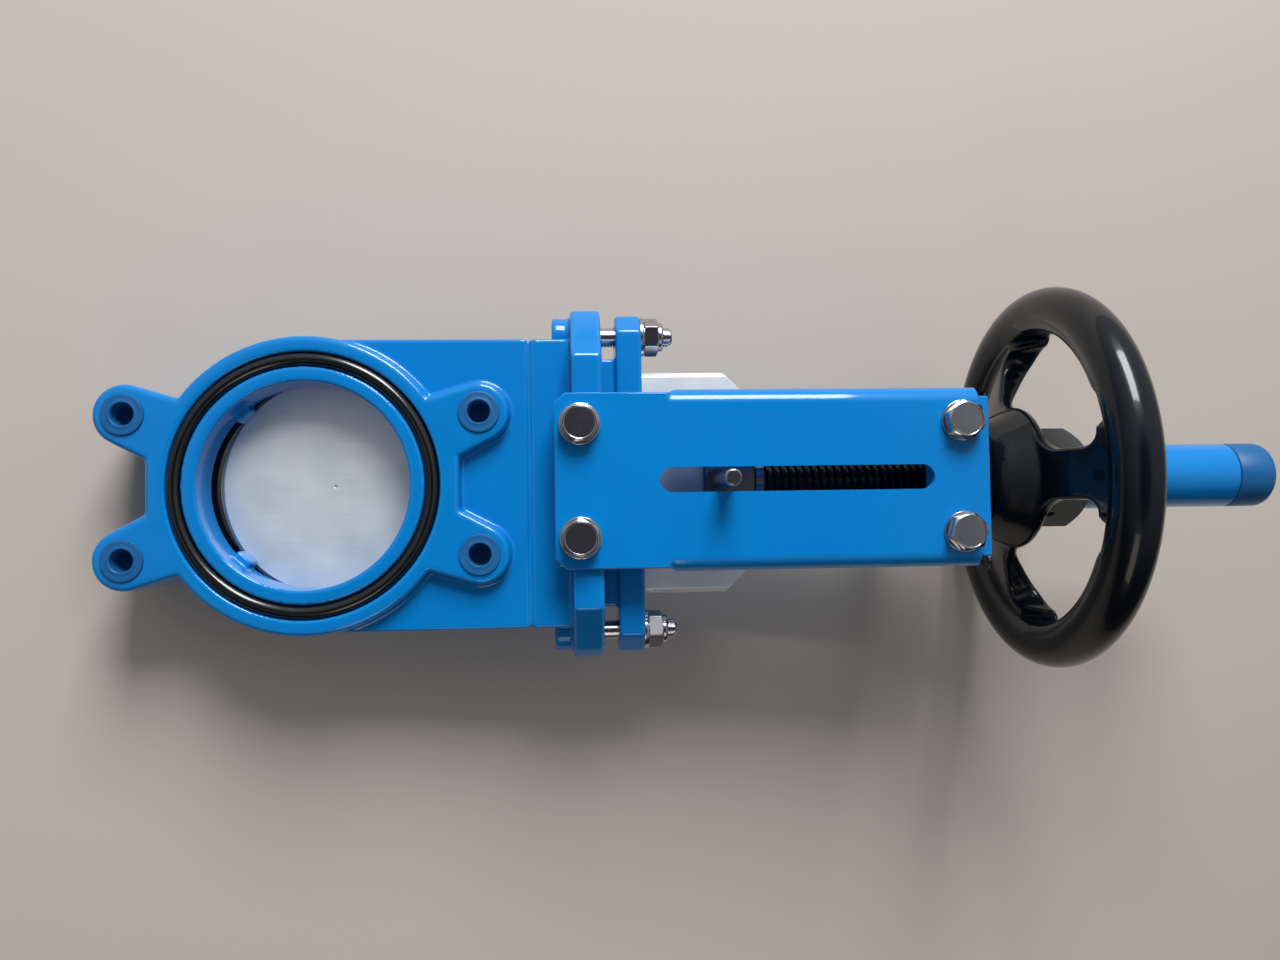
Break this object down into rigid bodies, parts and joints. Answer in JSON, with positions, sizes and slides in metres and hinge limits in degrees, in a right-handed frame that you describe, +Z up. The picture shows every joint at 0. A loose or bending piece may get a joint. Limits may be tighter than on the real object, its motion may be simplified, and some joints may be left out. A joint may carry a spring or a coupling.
{
  "type": "knife gate valve",
  "caption": "Wafer knife gate valve with a blue cast body, a stainless gate, a folded yoke with an indicator slot and a black handwheel on a rising stem.",
  "frame": {"origin": "centre of the port, halfway between the two flange faces", "axes": "+Z up the stem towards the handwheel, +Y along the pipe towards the back flange face, +X across the gate"},
  "size_m": [0.1982, 0.1982, 0.5947],
  "materials": {
    "blue_epoxy": "gloss blue epoxy on cast iron and steel",
    "gate_stainless": "brushed stainless plate",
    "bright_stainless": "polished stainless",
    "black_gloss": "gloss black enamel",
    "seal_rubber": "moulded black rubber",
    "blue_plastic": "dull blue polyethylene",
    "dark_casting": "dark oiled casting",
    "bronze": "turned bronze",
    "white_packing": "white PTFE",
    "plain_steel": "plain oiled steel"
  },
  "bodies": {
    "valve_frame": {"valve_body": "blue_epoxy", "front_face_seal": "seal_rubber", "back_face_seal": "seal_rubber", "seat_ring": "seal_rubber", "seat_retainer_ring": "gate_stainless", "guide_strips": "white_packing", "packing_ring_lower": "white_packing", "packing_ring_middle": "white_packing", "packing_ring_upper": "white_packing", "gland_follower": "blue_epoxy", "gland_studs": "bright_stainless", "gland_washers": "bright_stainless", "gland_nuts": "bright_stainless", "yoke_plate_front": "blue_epoxy", "yoke_plate_back": "blue_epoxy", "yoke_lower_bolts": "bright_stainless", "yoke_upper_bolts": "bright_stainless", "yoke_lower_washers": "bright_stainless", "yoke_upper_washers": "bright_stainless", "yoke_bridge": "blue_epoxy", "thrust_washer_lower": "bronze", "thrust_washer_upper": "bronze", "bearing_cap": "black_gloss", "bearing_cap_screws": "plain_steel", "lug_plugs": "blue_plastic"},
    "handwheel_drive": {"stem_nut": "bronze", "handwheel": "black_gloss", "handwheel_key": "plain_steel", "hex_collar": "dark_casting", "collar_set_screw": "plain_steel", "stem_tube": "blue_epoxy"},
    "gate_and_stem": {"knife_gate": "gate_stainless", "stem_clevis": "bright_stainless", "stem": "bright_stainless", "stem_pin": "plain_steel", "indicator_pin": "bright_stainless", "pin_clips": "plain_steel"},
    "tube_end_plug": {"tube_end_plug": "blue_plastic"}
  },
  "joints": [
    {"name": "handwheel_turn", "type": "hinge", "parent": "valve_frame", "child": "handwheel_drive", "pos_m": [0, 0, 0.352], "axis": [0, 0, 1], "range_deg": [-900, 8730]},
    {"name": "gate_lift", "type": "slide", "parent": "valve_frame", "child": "gate_and_stem", "axis": [0, 0, 1], "range_m": [-0.01001, 0.09701]},
    {"name": "end_plug_pull", "type": "slide", "parent": "handwheel_drive", "child": "tube_end_plug", "axis": [0, 0, 1], "range_m": [0, 0.05]}
  ],
  "couplings": [
    {"joint": "gate_lift", "follows": "handwheel_turn", "m_per_rad": 0.00063662}
  ]
}
